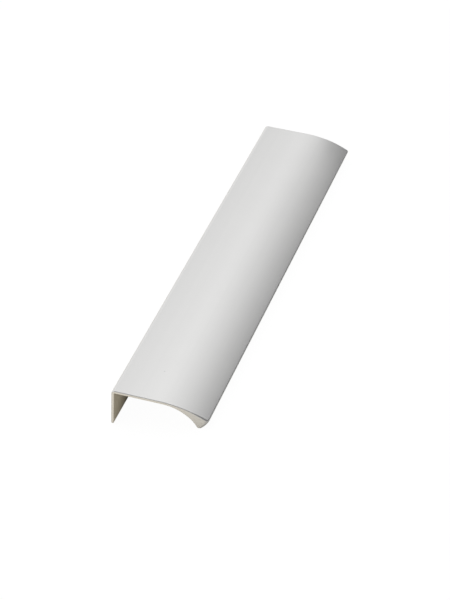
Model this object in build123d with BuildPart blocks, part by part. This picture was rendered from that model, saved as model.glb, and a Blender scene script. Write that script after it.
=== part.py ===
"""Edge pull: a drawn strip with a screw leg at the back and a curved finger lip at the front.

One extruded section, in millimetres. The section is drawn as it sits on a cabinet front, with
u running from the back of the leg towards the lip and v running up. The pull is stored as it
rests unheld on a level floor, on the foot of its leg and the tip of its lip, so the section
leans forward by the angle that brings both onto Z = 0. +Y runs along the pull.
"""
import os
from math import asin, atan2, degrees

from build123d import *

# Strip
LENGTH = 200.0
WALL = 1.1
END_BREAK = 0.4

# Leg and plate
LEG_HEIGHT = 15.5
PLATE_DEPTH = 18.5
BACK_CORNER_R = 1.4
INNER_CORNER_R = 0.3

# Crowned top and nose of the lip
REACH = 38.4
CROWN_DROP = 4.35
NOSE_R = 10.4
CREASE_R = 0.6

# Finger groove and tip
GROOVE_START = 20.0
TIP_REACH = 34.8
TIP_DROP = 9.1
TIP_R = 1.0

# Screw holes in the leg
HOLE_SPACING = 160.0
HOLE_DROP = 9.0
HOLE_R = 1.7
SINK_R = 2.5
SINK_ANGLE = 90.0

foot_r = WALL / 2

with BuildSketch() as section:
    with BuildLine():
        # outer skin: up the back of the leg, over the flat plate and the crown
        Polyline((0, foot_r - LEG_HEIGHT), (0, 0), (PLATE_DEPTH, 0))
        TangentArc((PLATE_DEPTH, 0), (REACH, -CROWN_DROP), tangent=(1, 0))
        # nose, bulging forward from the crease and curling back under to the tip
        RadiusArc((REACH, -CROWN_DROP), (TIP_REACH, -TIP_DROP), NOSE_R)
        # finger groove, leaving the underside of the plate without a step
        TangentArc((GROOVE_START, -WALL), (TIP_REACH, -TIP_DROP), tangent=(1, 0))
        # inner skin: back under the plate and down the leg to its rounded foot
        Polyline((GROOVE_START, -WALL), (WALL, -WALL), (WALL, foot_r - LEG_HEIGHT))
        TangentArc((WALL, foot_r - LEG_HEIGHT), (0, foot_r - LEG_HEIGHT), tangent=(0, -1))
    make_face()
    for corner, radius in (
        ((0, 0), BACK_CORNER_R),
        ((WALL, -WALL), INNER_CORNER_R),
        ((REACH, -CROWN_DROP), CREASE_R),
        ((TIP_REACH, -TIP_DROP), TIP_R),
    ):
        fillet(section.vertices().sort_by_distance(corner)[0], radius)

# the line under foot and tip touches both rounds
foot = Vector(foot_r, foot_r - LEG_HEIGHT)
tip = section.edges().sort_by_distance((TIP_REACH, -TIP_DROP))[0].arc_center
lean = atan2((tip - foot).Y, (tip - foot).X) - asin((TIP_R - foot_r) / (tip - foot).length)
tilt = degrees(lean)

# the pull's own origin is the middle of its outline on the floor
leaning = section.sketch.rotate(Axis.Z, -tilt).bounding_box()
stand = Plane(
    origin=(-leaning.center().X, 0, -leaning.min.Y),
    x_dir=Vector(1, 0, 0).rotate(Axis.Y, tilt),
    z_dir=(0, -1, 0),
)
leg_back = Plane(
    origin=stand.from_local_coords((0, -HOLE_DROP)),
    x_dir=(0, 1, 0),
    z_dir=-stand.x_dir,
)

with BuildPart() as edge_pull:
    with BuildSketch(stand):
        add(section.sketch)
    extrude(amount=LENGTH / 2, both=True)
    ends = edge_pull.faces().filter_by(Axis.Y).sort_by(Axis.Y)
    fillet(ends[0].edges() + ends[-1].edges(), END_BREAK)
    with Locations(leg_back):
        with GridLocations(HOLE_SPACING, 0, 2, 1):
            CounterSinkHole(
                radius=HOLE_R,
                counter_sink_radius=SINK_R,
                depth=WALL,
                counter_sink_angle=SINK_ANGLE,
            )

edge_pull.part.label = "edge_pull"
os.makedirs("parts", exist_ok=True)
export_step(edge_pull.part, "parts/edge_pull.step")
print("lean of the section:", round(tilt, 3), "degrees")
print("origin of the section:", stand.origin)
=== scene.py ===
"""Edge pull on a pale floor: a drawn metal strip with a screw leg and a crowned finger lip."""
from math import asin, atan2, ceil, cos, pi, radians, sin, sqrt

import bpy
from mathutils import Euler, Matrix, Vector


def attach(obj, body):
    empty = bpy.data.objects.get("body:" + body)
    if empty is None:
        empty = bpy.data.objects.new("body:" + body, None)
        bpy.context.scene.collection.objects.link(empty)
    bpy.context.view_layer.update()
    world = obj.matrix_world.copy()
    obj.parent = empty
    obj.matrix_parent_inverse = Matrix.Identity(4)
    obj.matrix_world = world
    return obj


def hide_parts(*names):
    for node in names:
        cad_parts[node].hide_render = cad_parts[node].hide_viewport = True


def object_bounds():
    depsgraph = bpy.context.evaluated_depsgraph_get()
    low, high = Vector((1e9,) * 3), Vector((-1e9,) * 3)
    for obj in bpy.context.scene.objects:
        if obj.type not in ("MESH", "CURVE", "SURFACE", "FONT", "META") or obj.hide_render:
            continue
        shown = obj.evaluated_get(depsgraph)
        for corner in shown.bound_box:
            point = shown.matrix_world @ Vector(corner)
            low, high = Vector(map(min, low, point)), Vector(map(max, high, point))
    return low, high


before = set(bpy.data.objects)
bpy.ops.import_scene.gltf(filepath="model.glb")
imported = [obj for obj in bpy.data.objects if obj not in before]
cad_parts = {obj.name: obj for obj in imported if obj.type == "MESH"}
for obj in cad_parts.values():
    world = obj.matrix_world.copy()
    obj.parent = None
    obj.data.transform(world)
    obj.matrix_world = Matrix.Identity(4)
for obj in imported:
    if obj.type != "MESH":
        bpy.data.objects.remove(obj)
cad_low, cad_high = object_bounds()

MM = 0.001

# The pull's own section in millimetres: u from the back of the leg to the lip, v up
WALL = 1.1
END_BREAK = 0.4
INNER_BREAK = 0.12
CORNER_ROUND = 1.25
CORNER_START = 30.0
LEG_HEIGHT = 15.5
PLATE_DEPTH = 18.5
BACK_CORNER_R = 1.4
INNER_CORNER_R = 0.3
REACH = 38.4
CROWN_DROP = 4.35
NOSE_R = 10.4
CREASE_R = 0.6
GROOVE_START = 20.0
TIP_REACH = 34.8
TIP_DROP = 9.1
TIP_R = 1.0
HOLE_SPACING = 160.0
HOLE_DROP = 9.0
HOLE_R = 1.7
SINK_R = 2.5

# Fineness of the drawn skin: the turn from one point of an arc to the next, how far inside a
# flat run its support points lie, and the steps round a broken end and a hole
WIDE_ARC_STEP = radians(1.25)
MIDDLE_ARC_STEP = radians(2.5)
SMALL_ARC_STEP = radians(6.0)
TINY_ARC_STEP = radians(12.0)
SUPPORT = 0.15
BREAK_STEPS = 5
HOLE_SIDES = 64

# What counts as one point of the section and of the mesh, as a crisp rim and as an end face,
# and how far the hole cutters reach past the leg
SAME_POINT = 0.0001
MERGE_REACH = 0.0002 * MM
CRISP_BEND = radians(35)
FLAT_END = 0.9995
CUT_OVER = 0.5 * MM

# Satin finish of the drawn skin, in metres where it is a length. Its roughness swings to both
# sides of the middle, and its slow streaks have a share of the fine lines' closeness.
METAL_LIGHT = (0.750, 0.748, 0.743)
METAL_DARK = (0.728, 0.726, 0.721)
SATIN_ROUGHNESS = 0.38
SATIN_SWING = 0.02
SHADE_RANGE = (0.3, 0.7)
LINE_SPACING = 0.35 * MM
LINE_STRETCH = 160.0
LINE_HEIGHT = 0.0030 * MM
LINE_NOISE = {"Detail": 3.0, "Roughness": 0.6}
STREAK_NOISE = {"Detail": 1.0, "Roughness": 0.5}
STREAK_SHARE = 0.15
GRAIN_SIZE = 0.09 * MM
GRAIN_HEIGHT = 0.0012 * MM
GRAIN_NOISE = {"Detail": 2.0, "Roughness": 0.5}
CLOUD_SIZE = 14.0 * MM
WORN_EDGE = 0.5 * MM
WORN_POLISH = 0.05
# painted shade: the colour darkens towards the back edge, across the width below
PAINTED_BACK_SHADE = 0.905
PAINTED_SHADE_WIDTH = 17.0 * MM

# A pit in the plate, at its distance from the back and from the near end in millimetres, with
# the share of its radius that is flat, and the painted shade that darkens it
PIT_U = 15.0
PIT_FROM_END = 17.9
PIT_R = 0.32 * MM
PIT_FLAT = 0.4
PIT_DEPTH = 0.02 * MM
PIT_PAINTED_SHADE = 0.72

# Sawn ends, with arcs about the saw's far centre
SAWN_LIGHT = (0.860, 0.845, 0.815)
SAWN_DARK = (0.830, 0.815, 0.785)
SAWN_ROUGHNESS = 0.42
SAWN_SWING = 0.04
SAW_PITCH = 0.16 * MM
SAW_HEIGHT = 0.0035 * MM
SAW_CENTRE = (0.060, 0.0, -0.110)

# Pale board: its colour for the light and the shadow, a little of that and a plain white for
# the eye, and a painted glow for the metal: light painted on the board that turns from warm to
# cooler and fades towards the lip, where it leaves a painted shadow
FLOOR_REACH = 3.0
FLOOR_COLOUR = (0.65, 0.65, 0.641)
FLOOR_ROUGHNESS = 0.9
FLOOR_SPECULAR = 0.1
FLOOR_IN_VIEW = (0.05, 0.05, 0.05)
FLOOR_SEEN = 0.97
PAINTED_FLOOR_GLOW = 0.31
WARM_GLOW = (1.0, 0.86, 0.60)
LIP_GLOW = (0.82, 0.75, 0.62)
GLOW_TURN = (-6.0 * MM, 11.0 * MM)
GLOW_FADE = (13.0 * MM, 28.0 * MM)

# A painted shadow on the board under the pull, dim to all but the eye, between four soft edges.
# The near edge slants with the distance from the leg: across UNDER_SLANT it moves in by
# UNDER_LATE.
PAINTED_SHADOW_DIMMING = 0.95
UNDER_LEFT = (-22.0 * MM, -18.5 * MM)
UNDER_RIGHT = (8.0 * MM, 20.0 * MM)
UNDER_NEAR = (-102.0 * MM, -82.0 * MM)
UNDER_SLANT = (-18.5 * MM, -13.0 * MM)
UNDER_LATE = 19.0 * MM
UNDER_FAR = (74.0 * MM, 99.0 * MM)

# Soft light all round: a white room that is dim on the right and shaded high on the near side,
# with a dimmer horizon on the right, a soft fill overhead and a white backdrop for the eye.
# Each side is a bearing from +Y towards +X and a height, with the two cosines that it fades
# between.
WHITE_LEVEL = 1.12
DIM_LEVEL = 0.19
WHITE_SIDE = (248, 35, -0.52, 0.19)
FILL_LEVEL = 0.60
FILL_SIDE = (60, 80, 0.85, 0.97)
FRONT_DIMMING = 0.85
FRONT_SHADE = (146, 50, 0.45, 0.87)
HORIZON_DIMMING = 0.35
HORIZON_SIDE = (60, 0, 0.20, 0.75)
HORIZON_FADE = (0.30, 0.58)
BACKDROP_LEVEL = 1.0

# A dark card that stands behind the far end, on the lip's side, and shows only in the metal as a
# painted dark reflection
CARD_ACROSS = (14.0 * MM, 90.0 * MM)
CARD_ALONG = 138.0 * MM
CARD_HEIGHT = 36.0 * MM
CARD_LEVEL = 0.25

# Camera: above the near end, a little to the lip's side, through a long lens
CAMERA_PLACE = (0.30629, -0.72941, 0.49065)
CAMERA_TURN = (57.338, 8.746, 17.736)
CAMERA_LENS = 137.08
CAMERA_SENSOR = 36.0
CLIP_START = 0.05


# Section of the strip

def arc(centre, radius, start, turn, step):
    """Points along an arc, both ends included; turn is signed, in radians."""
    count = max(2, ceil(abs(turn) / step))
    return [
        Vector((centre.x + radius * cos(start + turn * i / count),
                centre.y + radius * sin(start + turn * i / count)))
        for i in range(count + 1)
    ]


def angle_of(centre, point):
    """Angle of a point about a centre."""
    return atan2(point.y - centre.y, point.x - centre.x)


def arc_between(centre, radius, first, last, step, clockwise=True):
    """Points along an arc about a centre, from one point to another."""
    turn = angle_of(centre, last) - angle_of(centre, first)
    if clockwise and turn > 0:
        turn -= 2 * pi
    if not clockwise and turn < 0:
        turn += 2 * pi
    return arc(centre, radius, angle_of(centre, first), turn, step)


def circles_meet(a, ra, b, rb, near):
    """The meeting point of two circles that lies nearer to a given point."""
    gap = (b - a).length
    along = (ra * ra - rb * rb + gap * gap) / (2 * gap)
    off = sqrt(max(ra * ra - along * along, 0.0))
    way = (b - a) / gap
    across = Vector((-way.y, way.x))
    both = [a + way * along + across * off, a + way * along - across * off]
    return min(both, key=lambda point: (point - near).length)


def circle_through(first, last, radius):
    """Centre of the circle of one radius through two points, on the right of the way."""
    middle = (first + last) / 2
    way = (last - first).normalized()
    rise = sqrt(radius * radius - ((last - first).length / 2) ** 2)
    return middle + Vector((way.y, -way.x)) * rise


def straight(first, last):
    """A flat run, with a point a little inside each end so that its shading stays flat."""
    way = (last - first).normalized() * SUPPORT
    return [first, first + way, last - way, last]


def tangent_radius(start, end):
    """Radius of the arc that leaves the start level and reaches the end."""
    run, drop = end.x - start.x, start.y - end.y
    return (run * run + drop * drop) / (2 * drop)


def section_outline():
    """Closed outline in millimetres, its outer share, and its foot and tip rounds."""
    foot_r = WALL / 2
    foot = Vector((foot_r, foot_r - LEG_HEIGHT))
    crease = Vector((REACH, -CROWN_DROP))
    tip_corner = Vector((TIP_REACH, -TIP_DROP))

    plate_end = Vector((PLATE_DEPTH, 0.0))
    crown_r = tangent_radius(plate_end, crease)
    crown = Vector((PLATE_DEPTH, -crown_r))
    groove_top = Vector((GROOVE_START, -WALL))
    groove_r = tangent_radius(groove_top, tip_corner)
    groove = Vector((GROOVE_START, -WALL - groove_r))
    nose = circle_through(crease, tip_corner, NOSE_R)

    # rounds where the crown meets the nose and where the nose meets the groove
    crease_c = circles_meet(crown, crown_r - CREASE_R, nose, NOSE_R - CREASE_R, crease)
    on_crown = crown + (crease_c - crown).normalized() * crown_r
    on_nose_top = nose + (crease_c - nose).normalized() * NOSE_R
    tip = circles_meet(nose, NOSE_R - TIP_R, groove, groove_r + TIP_R, tip_corner)
    on_nose_low = nose + (tip - nose).normalized() * NOSE_R
    on_groove = groove + (tip - groove).normalized() * groove_r

    back_c = Vector((BACK_CORNER_R, -BACK_CORNER_R))
    inner_c = Vector((WALL + INNER_CORNER_R, -WALL - INNER_CORNER_R))

    # each run with how far its ends belong to the outer skin, from 0 inside to 1 outside
    runs = [
        (straight(Vector((0.0, foot.y)), Vector((0.0, -BACK_CORNER_R))), 1, 1),
        (arc(back_c, BACK_CORNER_R, pi, -pi / 2, SMALL_ARC_STEP), 1, 1),
        (straight(Vector((BACK_CORNER_R, 0.0)), plate_end), 1, 1),
        (arc_between(crown, crown_r, plate_end, on_crown, WIDE_ARC_STEP), 1, 1),
        (arc_between(crease_c, CREASE_R, on_crown, on_nose_top, SMALL_ARC_STEP), 1, 1),
        (arc_between(nose, NOSE_R, on_nose_top, on_nose_low, MIDDLE_ARC_STEP), 1, 1),
        (arc_between(tip, TIP_R, on_nose_low, on_groove, SMALL_ARC_STEP), 1, 0),
        (arc_between(groove, groove_r, on_groove, groove_top, MIDDLE_ARC_STEP, False), 0, 0),
        (straight(groove_top, Vector((inner_c.x, -WALL))), 0, 0),
        (arc(inner_c, INNER_CORNER_R, pi / 2, pi / 2, TINY_ARC_STEP), 0, 0),
        (straight(Vector((WALL, inner_c.y)), Vector((WALL, foot.y))), 0, 0),
        (arc(foot, foot_r, 0.0, -pi, TINY_ARC_STEP), 0, 1),
    ]
    outline, outer = [], []
    for run, first, last in runs:
        for i, point in enumerate(run):
            if not outline or (point - outline[-1]).length > SAME_POINT:
                outline.append(point)
                outer.append(first + (last - first) * i / (len(run) - 1))
    if (outline[-1] - outline[0]).length < SAME_POINT:
        outline.pop()
        outer.pop()
    return outline, outer, foot, foot_r, tip


def resting(outline, foot, foot_r, tip):
    """Lean that brings foot and tip onto the floor, and the shift to the outline's middle."""
    reach = tip - foot
    lean = atan2(reach.y, reach.x) - asin((TIP_R - foot_r) / reach.length)
    across = [p.x * cos(lean) + p.y * sin(lean) for p in outline]
    floor = -foot.x * sin(lean) + foot.y * cos(lean) - foot_r
    return lean, Vector((-(min(across) + max(across)) / 2, 0.0, -floor))


# Node helpers

NUMBER = "NodeSocketFloat"
VECTOR = "NodeSocketVector"
SHAPE = "NodeSocketGeometry"


def add(tree, kind, values=None, **settings):
    """A node with its settings and the plain values of its sockets."""
    node = tree.nodes.new(kind)
    for name, value in settings.items():
        setattr(node, name, value)
    for socket, value in (values or {}).items():
        node.inputs[socket].default_value = value
    return node


def join(tree, *pairs):
    """Links given as (from node, socket, to node, socket)."""
    for source, out, target, into in pairs:
        tree.links.new(source.outputs[out], target.inputs[into])


def feed(tree, socket, value):
    """Links a socket to an output, or gives it a plain value if there is one."""
    if isinstance(value, bpy.types.NodeSocket):
        tree.links.new(value, socket)
    elif value is not None:
        socket.default_value = value


def maths(tree, operation, first, second=None, clamp=False):
    """A Math node; each side is a number or an output socket."""
    node = add(tree, "ShaderNodeMath", operation=operation, use_clamp=clamp)
    feed(tree, node.inputs[0], first)
    feed(tree, node.inputs[1], second)
    return node.outputs[0]


def vector_maths(tree, operation, first, second):
    """A Vector Math node; each side is a vector or an output socket."""
    node = add(tree, "ShaderNodeVectorMath", operation=operation)
    feed(tree, node.inputs[0], first)
    feed(tree, node.inputs["Scale" if operation == "SCALE" else 1], second)
    gives_number = operation in ("DISTANCE", "DOT_PRODUCT")
    return node.outputs["Value" if gives_number else "Vector"]


def vector(tree, x=0.0, y=0.0, z=0.0):
    """A vector from three numbers or output sockets."""
    node = add(tree, "ShaderNodeCombineXYZ")
    for socket, value in zip(node.inputs, (x, y, z)):
        feed(tree, socket, value)
    return node.outputs[0]


def split(tree, source):
    """The X, Y and Z of a vector, by name."""
    node = add(tree, "ShaderNodeSeparateXYZ")
    tree.links.new(source, node.inputs[0])
    return node.outputs


def between(tree, value, low, high, start=0.0, end=1.0, ease="SMOOTHSTEP"):
    """A value carried from one range to another, by default with soft ends, and held there."""
    node = add(tree, "ShaderNodeMapRange", interpolation_type=ease)
    for name, side in (("Value", value), ("From Min", low), ("From Max", high),
                       ("To Min", start), ("To Max", end)):
        feed(tree, node.inputs[name], side)
    return node.outputs["Result"]


def minus(tree, value):
    """A number with its sign turned."""
    return maths(tree, "MULTIPLY", value, -1)


def dimmed(tree, level, amount, mask):
    """A level less a share of itself where the mask is 1."""
    return maths(tree, "MULTIPLY", level,
                 maths(tree, "SUBTRACT", 1.0, maths(tree, "MULTIPLY", mask, amount)))


def new_group(kind, name, inputs, outputs):
    """A node group with its named sockets, and its input and output nodes."""
    tree = bpy.data.node_groups.new(name, kind)
    for sockets, way in ((inputs, "INPUT"), (outputs, "OUTPUT")):
        for label, socket_type in sockets:
            tree.interface.new_socket(label, in_out=way, socket_type=socket_type)
    return tree, tree.nodes.new("NodeGroupInput"), tree.nodes.new("NodeGroupOutput")


def new_object(name, data):
    """An object at the scene's origin."""
    thing = bpy.data.objects.new(name, data)
    bpy.context.scene.collection.objects.link(thing)
    return thing


# The drawn strip

def corner_growth(tree, place, size):
    """How much rounder than its plain break an end is, growing towards the front of the lip."""
    most = maths(tree, "SUBTRACT", size["Corner round"], size["End break"])
    return between(tree, split(tree, place)["X"], size["Corner start"], size["Reach"], 0.0, most)


def sample(tree, section, source, column, kind):
    """What a field gives at the section's point that a column stands on."""
    node = add(tree, "GeometryNodeSampleIndex", data_type=kind, domain="POINT")
    for socket, value in (("Geometry", section), ("Value", source), ("Index", column)):
        tree.links.new(value, node.inputs[socket])
    return node.outputs["Value"]


def strip_tree():
    """Geometry tree: draws the section out, breaks the ends and sinks the holes."""
    tree, given, result = new_group(
        "GeometryNodeTree", "drawn_strip",
        (("Section", SHAPE), ("Length", NUMBER), ("Support", NUMBER),
         ("End break", NUMBER), ("Inner break", NUMBER),
         ("Corner round", NUMBER), ("Corner start", NUMBER), ("Reach", NUMBER),
         ("Wall", NUMBER), ("Hole spacing", NUMBER), ("Hole drop", NUMBER),
         ("Hole radius", NUMBER), ("Sink radius", NUMBER), ("Lean", NUMBER),
         ("Break steps", "NodeSocketInt"), ("Shift", VECTOR),
         ("Metal", "NodeSocketMaterial"), ("Sawn metal", "NodeSocketMaterial")),
        (("Strip", SHAPE),))
    size = given.outputs

    # outward direction at each point of the section: the run goes clockwise
    tangent = add(tree, "GeometryNodeInputTangent").outputs[0]
    place = add(tree, "GeometryNodeInputPosition").outputs[0]
    outward = vector_maths(tree, "CROSS_PRODUCT", (0.0, 0.0, 1.0), tangent)

    # outer edges are broken more than inner ones: the section's radius says which is which
    outer = add(tree, "GeometryNodeInputRadius").outputs[0]
    end_break = between(tree, outer, 0.0, 1.0, size["Inner break"], size["End break"],
                        ease="LINEAR")

    # a sheet of points: one column for each point of the section, one row for each station;
    # the half steps keep whole numbers clear of rounding
    count = add(tree, "GeometryNodeAttributeDomainSize", component="CURVE")
    join(tree, (given, "Section", count, "Geometry"))
    points = count.outputs["Point Count"]
    end_rows = maths(tree, "ADD", size["Break steps"], 2)
    rows = maths(tree, "MULTIPLY", end_rows, 2)
    sheet = add(tree, "GeometryNodeMeshGrid", {"Size X": 1.0, "Size Y": 1.0})
    tree.links.new(maths(tree, "ADD", points, 1), sheet.inputs["Vertices X"])
    tree.links.new(rows, sheet.inputs["Vertices Y"])
    index = add(tree, "GeometryNodeInputIndex").outputs[0]
    column = maths(tree, "FLOOR", maths(tree, "DIVIDE", maths(tree, "ADD", index, 0.5), rows))
    row = maths(tree, "SUBTRACT", index, maths(tree, "MULTIPLY", column, rows))
    column = maths(tree, "MODULO", column, points)
    spot = sample(tree, size["Section"], place, column, "FLOAT_VECTOR")
    facing = sample(tree, size["Section"], outward, column, "FLOAT_VECTOR")
    broken = sample(tree, size["Section"], end_break, column, "FLOAT")

    # each end is broken by a quarter round, then a support row keeps the long faces flat
    last_row = maths(tree, "SUBTRACT", rows, 1)
    from_end = maths(tree, "MINIMUM", row, maths(tree, "SUBTRACT", last_row, row))
    part = maths(tree, "DIVIDE", from_end, size["Break steps"], clamp=True)
    turn = maths(tree, "MULTIPLY", part, pi / 2)
    drawn_in = maths(tree, "SUBTRACT", 1, maths(tree, "SINE", turn))
    set_back = maths(tree, "SUBTRACT", 1, maths(tree, "COSINE", turn))
    growth = corner_growth(tree, spot, size)
    inset = maths(tree, "MULTIPLY", broken, drawn_in)
    back = maths(tree, "MULTIPLY", maths(tree, "ADD", broken, growth), set_back)
    past_break = maths(tree, "SUBTRACT", from_end, size["Break steps"])
    beyond = maths(tree, "MULTIPLY", size["Support"], maths(tree, "MAXIMUM", past_break, 0))
    half = maths(tree, "MULTIPLY", size["Length"], 0.5)
    depth = maths(tree, "SUBTRACT", half, maths(tree, "ADD", back, beyond))
    middle_row = maths(tree, "SUBTRACT", end_rows, 0.5)
    side = maths(tree, "SIGN", maths(tree, "SUBTRACT", row, middle_row))
    in_plane = vector_maths(tree, "ADD", spot,
                            vector_maths(tree, "SCALE", facing, minus(tree, inset)))
    lift = vector(tree, x=maths(tree, "MULTIPLY", growth, minus(tree, drawn_in)),
                  z=maths(tree, "MULTIPLY", side, depth))
    drawn = add(tree, "GeometryNodeSetPosition")
    skin = add(tree, "GeometryNodeFlipFaces")
    tree.links.new(vector_maths(tree, "ADD", in_plane, lift), drawn.inputs["Position"])
    join(tree, (sheet, "Mesh", drawn, "Geometry"), (drawn, "Geometry", skin, "Mesh"))

    # sawn ends: the section drawn in by the break, filled and set at both ends
    draw_in = vector_maths(tree, "SCALE", outward, minus(tree, end_break))
    slide = vector(tree, x=minus(tree, corner_growth(tree, place, size)))
    end_line = add(tree, "GeometryNodeSetPosition")
    tree.links.new(vector_maths(tree, "ADD", draw_in, slide), end_line.inputs["Offset"])
    cap = add(tree, "GeometryNodeFillCurve", mode="NGONS")
    far_cap = add(tree, "GeometryNodeTransform")
    near_cap = add(tree, "GeometryNodeTransform")
    tree.links.new(vector(tree, z=half), far_cap.inputs["Translation"])
    tree.links.new(vector(tree, z=minus(tree, half)), near_cap.inputs["Translation"])
    turned = add(tree, "GeometryNodeFlipFaces")
    whole = add(tree, "GeometryNodeJoinGeometry")
    closed = add(tree, "GeometryNodeMergeByDistance", {"Distance": MERGE_REACH})
    join(tree, (given, "Section", end_line, "Geometry"), (end_line, "Geometry", cap, "Curve"),
         (cap, "Mesh", far_cap, "Geometry"), (cap, "Mesh", turned, "Mesh"),
         (turned, "Mesh", near_cap, "Geometry"), (skin, "Mesh", whole, 0),
         (far_cap, "Geometry", whole, 0), (near_cap, "Geometry", whole, 0),
         (whole, 0, closed, "Geometry"))

    # countersunk holes through the leg: a cone from the back and a drill right through
    sink_depth = maths(tree, "SUBTRACT", size["Sink radius"], size["Hole radius"])
    cone = add(tree, "GeometryNodeMeshCone", {"Vertices": HOLE_SIDES})
    drill = add(tree, "GeometryNodeMeshCone", {"Vertices": HOLE_SIDES})
    for cutter, socket, value in (
        (cone, "Radius Bottom", maths(tree, "ADD", size["Sink radius"], CUT_OVER)),
        (cone, "Radius Top", size["Hole radius"]),
        (cone, "Depth", maths(tree, "ADD", sink_depth, CUT_OVER)),
        (drill, "Radius Bottom", size["Hole radius"]),
        (drill, "Radius Top", size["Hole radius"]),
        (drill, "Depth", maths(tree, "ADD", size["Wall"], 2 * CUT_OVER)),
    ):
        tree.links.new(value, cutter.inputs[socket])
    start = vector(tree, -CUT_OVER, minus(tree, size["Hole drop"]),
                   maths(tree, "MULTIPLY", size["Hole spacing"], -0.5))
    spots = add(tree, "GeometryNodeMeshLine", {"Count": 2}, mode="OFFSET")
    tree.links.new(start, spots.inputs["Start Location"])
    tree.links.new(vector(tree, z=size["Hole spacing"]), spots.inputs["Offset"])
    cut = add(tree, "GeometryNodeMeshBoolean", operation="DIFFERENCE", solver="EXACT")
    join(tree, (closed, "Geometry", cut, "Mesh 1"))
    into_leg = Euler((0.0, pi / 2, 0.0))
    for cutter in (cone, drill):
        cutters = add(tree, "GeometryNodeInstanceOnPoints", {"Rotation": into_leg})
        real = add(tree, "GeometryNodeRealizeInstances")
        join(tree, (spots, "Mesh", cutters, "Points"), (cutter, "Mesh", cutters, "Instance"),
             (cutters, "Instances", real, "Geometry"), (real, "Geometry", cut, "Mesh 2"))

    # stood as it rests on the floor
    stand = add(tree, "GeometryNodeTransform")
    tree.links.new(vector(tree, pi / 2, size["Lean"]), stand.inputs["Rotation"])
    join(tree, (cut, "Mesh", stand, "Geometry"), (given, "Shift", stand, "Translation"))

    # smooth rounds, flat ends, and crisp rims where two faces meet at a real angle
    facing_along = split(tree, add(tree, "GeometryNodeInputNormal").outputs[0])["Y"]
    is_end = maths(tree, "GREATER_THAN", maths(tree, "ABSOLUTE", facing_along), FLAT_END)
    smooth = add(tree, "GeometryNodeSetShadeSmooth", domain="FACE")
    tree.links.new(maths(tree, "SUBTRACT", 1, is_end), smooth.inputs["Shade Smooth"])
    bend = add(tree, "GeometryNodeInputMeshEdgeAngle").outputs["Unsigned Angle"]
    crisp = add(tree, "GeometryNodeSetShadeSmooth", {"Shade Smooth": False}, domain="EDGE")
    tree.links.new(maths(tree, "GREATER_THAN", bend, CRISP_BEND), crisp.inputs["Selection"])
    real = add(tree, "GeometryNodeRealizeInstances")
    skin_finish = add(tree, "GeometryNodeSetMaterial")
    end_finish = add(tree, "GeometryNodeSetMaterial")
    tree.links.new(is_end, end_finish.inputs["Selection"])
    join(tree, (stand, "Geometry", smooth, "Geometry"), (smooth, "Geometry", crisp, "Geometry"),
         (crisp, "Geometry", real, "Geometry"), (real, "Geometry", skin_finish, "Geometry"),
         (given, "Metal", skin_finish, "Material"),
         (skin_finish, "Geometry", end_finish, "Geometry"),
         (given, "Sawn metal", end_finish, "Material"),
         (end_finish, "Geometry", result, "Strip"))
    return tree


def set_input(modifier, name, value):
    """Sets a modifier's input by its socket's identifier."""
    for item in modifier.node_group.interface.items_tree:
        if item.item_type == "SOCKET" and item.in_out == "INPUT" and item.name == name:
            modifier[item.identifier] = value
            return
    raise KeyError(name)


def make_pull(outline, outer, lean, shift, metal, sawn):
    """The strip as one plain mesh, drawn by the geometry tree from its section."""
    curve = bpy.data.curves.new("pull_section", "CURVE")
    curve.dimensions = "3D"
    line = curve.splines.new("POLY")
    line.points.add(len(outline) - 1)
    for spot, point, share in zip(line.points, outline, outer):
        spot.co = (point.x * MM, point.y * MM, 0.0, 1.0)
        spot.radius = share
    line.use_cyclic_u = True
    section = new_object("pull_section", curve)
    strip = section.modifiers.new("strip", "NODES")
    strip.node_group = strip_tree()
    for name, value in (
        ("Length", cad_high[1] - cad_low[1]), ("Support", SUPPORT * MM),
        ("End break", END_BREAK * MM), ("Inner break", INNER_BREAK * MM),
        ("Corner round", CORNER_ROUND * MM),
        ("Corner start", CORNER_START * MM), ("Reach", REACH * MM),
        ("Wall", WALL * MM), ("Hole spacing", HOLE_SPACING * MM),
        ("Hole drop", HOLE_DROP * MM), ("Hole radius", HOLE_R * MM),
        ("Sink radius", SINK_R * MM), ("Lean", lean), ("Break steps", BREAK_STEPS),
        ("Shift", shift * MM), ("Metal", metal), ("Sawn metal", sawn),
    ):
        set_input(strip, name, value)
    graph = bpy.context.evaluated_depsgraph_get()
    mesh = bpy.data.meshes.new_from_object(section.evaluated_get(graph))
    mesh.name = "drawn_pull"
    bpy.data.objects.remove(section)
    for i in reversed(range(len(mesh.materials))):
        if mesh.materials[i] is None:
            mesh.materials.pop(index=i)
    return new_object("drawn_pull", mesh)


# Materials

def new_material(name, values=None):
    """A material, its tree and its Principled shader with plain values on its own sockets."""
    material = bpy.data.materials.new(name)
    material.use_nodes = True
    tree = material.node_tree
    shader = tree.nodes["Principled BSDF"]
    for socket, value in (values or {}).items():
        shader.inputs[socket].default_value = value
    return material, tree, shader


def scored_lines():
    """Node group: fine lines across a coordinate, and the slower streaks that they stand in."""
    tree, given, result = new_group(
        "ShaderNodeTree", "scored_lines", (("Place", VECTOR), ("Spacing", NUMBER)),
        (("Height", NUMBER), ("Streak", NUMBER)))
    fine = add(tree, "ShaderNodeTexNoise", LINE_NOISE)
    slow = add(tree, "ShaderNodeTexNoise", STREAK_NOISE)
    per_metre = maths(tree, "DIVIDE", 1.0, given.outputs["Spacing"])
    tree.links.new(per_metre, fine.inputs["Scale"])
    tree.links.new(maths(tree, "MULTIPLY", per_metre, STREAK_SHARE), slow.inputs["Scale"])
    join(tree, (given, "Place", fine, "Vector"), (given, "Place", slow, "Vector"),
         (fine, "Fac", result, "Height"), (slow, "Fac", result, "Streak"))
    return tree


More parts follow.
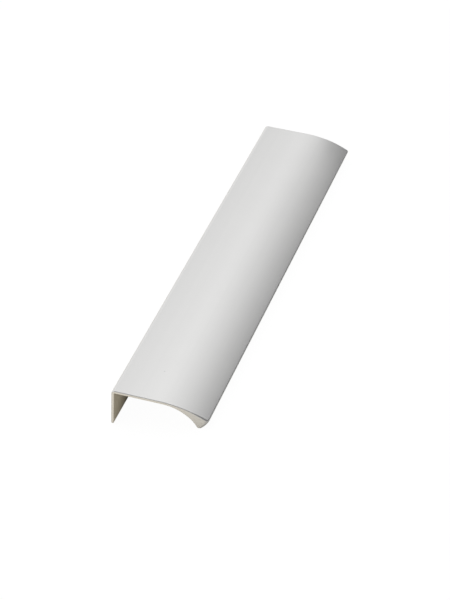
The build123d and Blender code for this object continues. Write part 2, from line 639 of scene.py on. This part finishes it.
def etched_grain():
    """Node group: the fine matt grain of the etched surface, and a broad soft unevenness."""
    tree, given, result = new_group(
        "ShaderNodeTree", "etched_grain",
        (("Place", VECTOR), ("Grain", NUMBER), ("Cloud", NUMBER)),
        (("Height", NUMBER), ("Unevenness", NUMBER)))
    for size, out in (("Grain", "Height"), ("Cloud", "Unevenness")):
        noise = add(tree, "ShaderNodeTexNoise", GRAIN_NOISE)
        tree.links.new(maths(tree, "DIVIDE", 1.0, given.outputs[size]), noise.inputs["Scale"])
        join(tree, (given, "Place", noise, "Vector"), (noise, "Fac", result, out))
    return tree


def place_group(tree, group, place, **sizes):
    """A group in a material, reading a place, with its own sizes."""
    node = add(tree, "ShaderNodeGroup", sizes, node_tree=group)
    tree.links.new(place, node.inputs["Place"])
    return node.outputs


def drawn_and_etched(tree, lines, grain, place, run, spacing):
    """Heights of the lines along a run and of the grain, and the slow shade of both."""
    scores = place_group(tree, lines, run, Spacing=spacing)
    etch = place_group(tree, grain, place, Grain=GRAIN_SIZE, Cloud=CLOUD_SIZE)
    both = maths(tree, "ADD", scores["Streak"], etch["Unevenness"])
    return scores["Height"], etch["Height"], maths(tree, "MULTIPLY", both, 0.5)


def swinging(tree, shade, middle, swing):
    """A roughness that swings with the shade to both sides of its middle."""
    return between(tree, shade, *SHADE_RANGE, middle - swing, middle + swing)


def tone(tree, factor, first, second):
    """A colour between two tones, the first where the factor is 0."""
    mix = add(tree, "ShaderNodeMix", data_type="RGBA")
    mix.inputs["A"].default_value = (*first, 1.0)
    mix.inputs["B"].default_value = (*second, 1.0)
    tree.links.new(factor, mix.inputs["Factor"])
    return mix.outputs["Result"]


def bump(tree, height, distance, under=None):
    """A Bump node of a real height in metres, over an earlier one if there is one."""
    node = add(tree, "ShaderNodeBump", {"Strength": 1.0, "Distance": distance})
    tree.links.new(height, node.inputs["Height"])
    if under:
        tree.links.new(under, node.inputs["Normal"])
    return node.outputs["Normal"]


def by_eye(tree, path):
    """1 for a Light Path's rays from the camera or through glass, 0 for all others."""
    return maths(tree, "MAXIMUM", path.outputs["Is Camera Ray"],
                 path.outputs["Is Transmission Ray"])


def satin_metal(lines, grain, pit, back_edge, across):
    """Satin anodised skin: drawn lines, a matt grain, a small pit, and painted shade at the back
    and in the pit.
    """
    material, tree, shader = new_material("satin_anodised", {"Metallic": 1.0})
    place = add(tree, "ShaderNodeTexCoord").outputs["Object"]
    run = add(tree, "ShaderNodeMapping", {"Scale": (1.0, 1.0 / LINE_STRETCH, 1.0)})
    tree.links.new(place, run.inputs["Vector"])
    scores, etch, shade = drawn_and_etched(tree, lines, grain, place, run.outputs[0],
                                           LINE_SPACING)

    # polished a little where the ends are broken
    half = cad_high[1]
    from_middle = maths(tree, "ABSOLUTE", split(tree, place)["Y"])
    worn = between(tree, from_middle, half - WORN_EDGE, half)
    rough = swinging(tree, shade, SATIN_ROUGHNESS, SATIN_SWING)
    rough = maths(tree, "SUBTRACT", rough, maths(tree, "MULTIPLY", worn, WORN_POLISH))
    tree.links.new(rough, shader.inputs["Roughness"])

    # painted shade: darker towards the back edge, and dished with a painted shade in the pit
    start = back_edge.dot(across)
    inward = vector_maths(tree, "DOT_PRODUCT", place, across)
    depth = between(tree, inward, start, start + PAINTED_SHADE_WIDTH, PAINTED_BACK_SHADE, 1.0, ease="LINEAR")
    from_pit = vector_maths(tree, "DISTANCE", place, pit)
    dish = between(tree, from_pit, PIT_R * PIT_FLAT, PIT_R, 1.0, 0.0)
    colour = tone(tree, between(tree, shade, *SHADE_RANGE), METAL_DARK, METAL_LIGHT)
    painted_shade = dimmed(tree, depth, 1.0 - PIT_PAINTED_SHADE, dish)
    tree.links.new(vector_maths(tree, "SCALE", colour, painted_shade), shader.inputs["Base Color"])

    skin = bump(tree, scores, LINE_HEIGHT)
    skin = bump(tree, etch, GRAIN_HEIGHT, skin)
    skin = bump(tree, maths(tree, "SUBTRACT", 1, dish), PIT_DEPTH, skin)
    tree.links.new(skin, shader.inputs["Normal"])
    return material


def sawn_metal(lines, grain):
    """Sawn and then anodised ends: fine arcs of the saw about a far centre."""
    material, tree, shader = new_material("sawn_anodised", {"Metallic": 1.0})
    place = add(tree, "ShaderNodeTexCoord").outputs["Object"]
    in_section = vector_maths(tree, "MULTIPLY", place, (1.0, 0.0, 1.0))
    sweep = vector(tree, x=vector_maths(tree, "DISTANCE", in_section, SAW_CENTRE))
    scores, etch, shade = drawn_and_etched(tree, lines, grain, place, sweep, SAW_PITCH)
    colour = tone(tree, between(tree, shade, *SHADE_RANGE), SAWN_DARK, SAWN_LIGHT)
    tree.links.new(colour, shader.inputs["Base Color"])
    rough = swinging(tree, shade, SAWN_ROUGHNESS, SAWN_SWING)
    tree.links.new(rough, shader.inputs["Roughness"])
    skin = bump(tree, scores, SAW_HEIGHT)
    skin = bump(tree, etch, GRAIN_HEIGHT, skin)
    tree.links.new(skin, shader.inputs["Normal"])
    return material


def floor_material():
    """Pale board that shows white to the eye, has a painted glow and painted shadow in the
    metal, and keeps the shadow.
    """
    material, tree, shader = new_material(
        "pale_board", {"Roughness": FLOOR_ROUGHNESS, "Specular IOR Level": FLOOR_SPECULAR})
    path = add(tree, "ShaderNodeLightPath")
    seen = by_eye(tree, path)
    place = split(tree, add(tree, "ShaderNodeTexCoord").outputs["Object"])
    x, y = place["X"], place["Y"]

    # the painted shadow under the pull, which the eye doesn't see
    late = between(tree, x, *UNDER_SLANT, 0.0, UNDER_LATE, ease="LINEAR")
    from_near = maths(tree, "SUBTRACT", y, late)
    under = maths(tree, "SUBTRACT", 1.0, seen)
    for edge in (between(tree, x, *UNDER_LEFT), between(tree, x, *UNDER_RIGHT, 1.0, 0.0),
                 between(tree, from_near, *UNDER_NEAR, ease="LINEAR"),
                 between(tree, y, *UNDER_FAR, 1.0, 0.0)):
        under = maths(tree, "MULTIPLY", under, edge)
    board = vector_maths(tree, "SCALE", tone(tree, seen, FLOOR_COLOUR, FLOOR_IN_VIEW),
                         dimmed(tree, 1.0, PAINTED_SHADOW_DIMMING, under))
    tree.links.new(board, shader.inputs["Base Color"])

    # a plain white for the eye and a painted glow for the metal, over the board's own shading;
    # the glow is light painted on the board, cut by the painted shadow under the pull
    white_glow = add(tree, "ShaderNodeEmission")
    tree.links.new(maths(tree, "MULTIPLY", seen, FLOOR_SEEN), white_glow.inputs["Strength"])
    glow = dimmed(tree, between(tree, x, *GLOW_FADE, PAINTED_FLOOR_GLOW, 0.0), 1.0, under)
    warm_glow = add(tree, "ShaderNodeEmission")
    tree.links.new(tone(tree, between(tree, x, *GLOW_TURN), WARM_GLOW, LIP_GLOW),
                   warm_glow.inputs["Color"])
    tree.links.new(maths(tree, "MULTIPLY", path.outputs["Is Glossy Ray"], glow),
                   warm_glow.inputs["Strength"])
    glows = add(tree, "ShaderNodeAddShader")
    both = add(tree, "ShaderNodeAddShader")
    join(tree, (white_glow, 0, glows, 0), (warm_glow, 0, glows, 1), (shader, 0, both, 0),
         (glows, 0, both, 1), (both, 0, tree.nodes["Material Output"], "Surface"))
    return material


# Stage

def flat_sheet(name, corners, material):
    """A sheet with four corners, in one material."""
    mesh = bpy.data.meshes.new(name)
    mesh.from_pydata(corners, [], [(0, 1, 2, 3)])
    mesh.materials.append(material)
    return new_object(name, mesh)


def make_card():
    """A low dark card that paints a dark reflection into the metal, and that neither the eye nor
    the floor sees.
    """
    material, tree, _ = new_material("dark_card")
    glow = add(tree, "ShaderNodeEmission", {"Strength": CARD_LEVEL})
    join(tree, (glow, 0, tree.nodes["Material Output"], "Surface"))
    (left, right), back, top = CARD_ACROSS, CARD_ALONG, CARD_HEIGHT
    corners = [(left, back, 0.0), (right, back, 0.0), (right, back, top), (left, back, top)]
    card = flat_sheet("dark_card", corners, material)
    card.visible_camera = card.visible_diffuse = card.visible_shadow = False


def make_floor():
    """A board that reaches far past the view on every side."""
    far = FLOOR_REACH
    corners = [(-far, -far, 0.0), (far, -far, 0.0), (far, far, 0.0), (-far, far, 0.0)]
    floor = flat_sheet("pale_floor", corners, floor_material())


def facing_side(tree, way, side):
    """How far a direction turns to one side: 0 away from it, 1 well inside it."""
    bearing, height, fade_from, fade_to = side
    around, up = radians(bearing), radians(height)
    towards = (sin(around) * cos(up), cos(around) * cos(up), sin(up))
    turned = vector_maths(tree, "DOT_PRODUCT", way, towards)
    return between(tree, turned, fade_from, fade_to, ease="LINEAR")


def make_world():
    """A white room that is open and dim on one side; the eye sees a white backdrop."""
    world = bpy.data.worlds.new("studio")
    world.use_nodes = True
    tree = world.node_tree
    way = add(tree, "ShaderNodeTexCoord").outputs["Generated"]
    lift = maths(tree, "MULTIPLY", facing_side(tree, way, WHITE_SIDE), WHITE_LEVEL - DIM_LEVEL)
    level = maths(tree, "ADD", DIM_LEVEL, lift)
    low_down = between(tree, split(tree, way)["Z"], *HORIZON_FADE, 1.0, 0.0)
    horizon = maths(tree, "MULTIPLY", low_down, facing_side(tree, way, HORIZON_SIDE))
    level = dimmed(tree, level, HORIZON_DIMMING, horizon)
    level = dimmed(tree, level, FRONT_DIMMING, facing_side(tree, way, FRONT_SHADE))
    fill = maths(tree, "MULTIPLY", facing_side(tree, way, FILL_SIDE), FILL_LEVEL)
    level = maths(tree, "ADD", level, fill)
    seen = by_eye(tree, add(tree, "ShaderNodeLightPath"))
    backdrop = maths(tree, "MULTIPLY", seen, maths(tree, "SUBTRACT", BACKDROP_LEVEL, level))
    background = tree.nodes["Background"]
    background.inputs["Color"].default_value = (1.0, 1.0, 1.0, 1.0)
    tree.links.new(maths(tree, "ADD", level, backdrop), background.inputs["Strength"])
    bpy.context.scene.world = world


def make_camera():
    """The view from above the near end."""
    lens = bpy.data.cameras.new("camera")
    lens.sensor_width = CAMERA_SENSOR
    lens.lens = CAMERA_LENS
    lens.clip_start = CLIP_START
    camera = new_object("camera", lens)
    camera.location = CAMERA_PLACE
    camera.rotation_euler = [radians(angle) for angle in CAMERA_TURN]
    bpy.context.scene.camera = camera


bpy.context.scene.view_settings.view_transform = "Standard"
make_floor()
make_card()
make_world()
make_camera()

outline, outer, foot, foot_r, tip = section_outline()
lean, shift = resting(outline, foot, foot_r, tip)
across = Vector((cos(lean), 0.0, -sin(lean)))
back_edge = shift * MM
pit = back_edge + across * PIT_U * MM
pit.y = cad_low[1] + PIT_FROM_END * MM
lines, grain = scored_lines(), etched_grain()
satin = satin_metal(lines, grain, pit, back_edge, across)
pull = make_pull(outline, outer, lean, shift, satin, sawn_metal(lines, grain))
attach(pull, "root")
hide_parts("edge_pull")
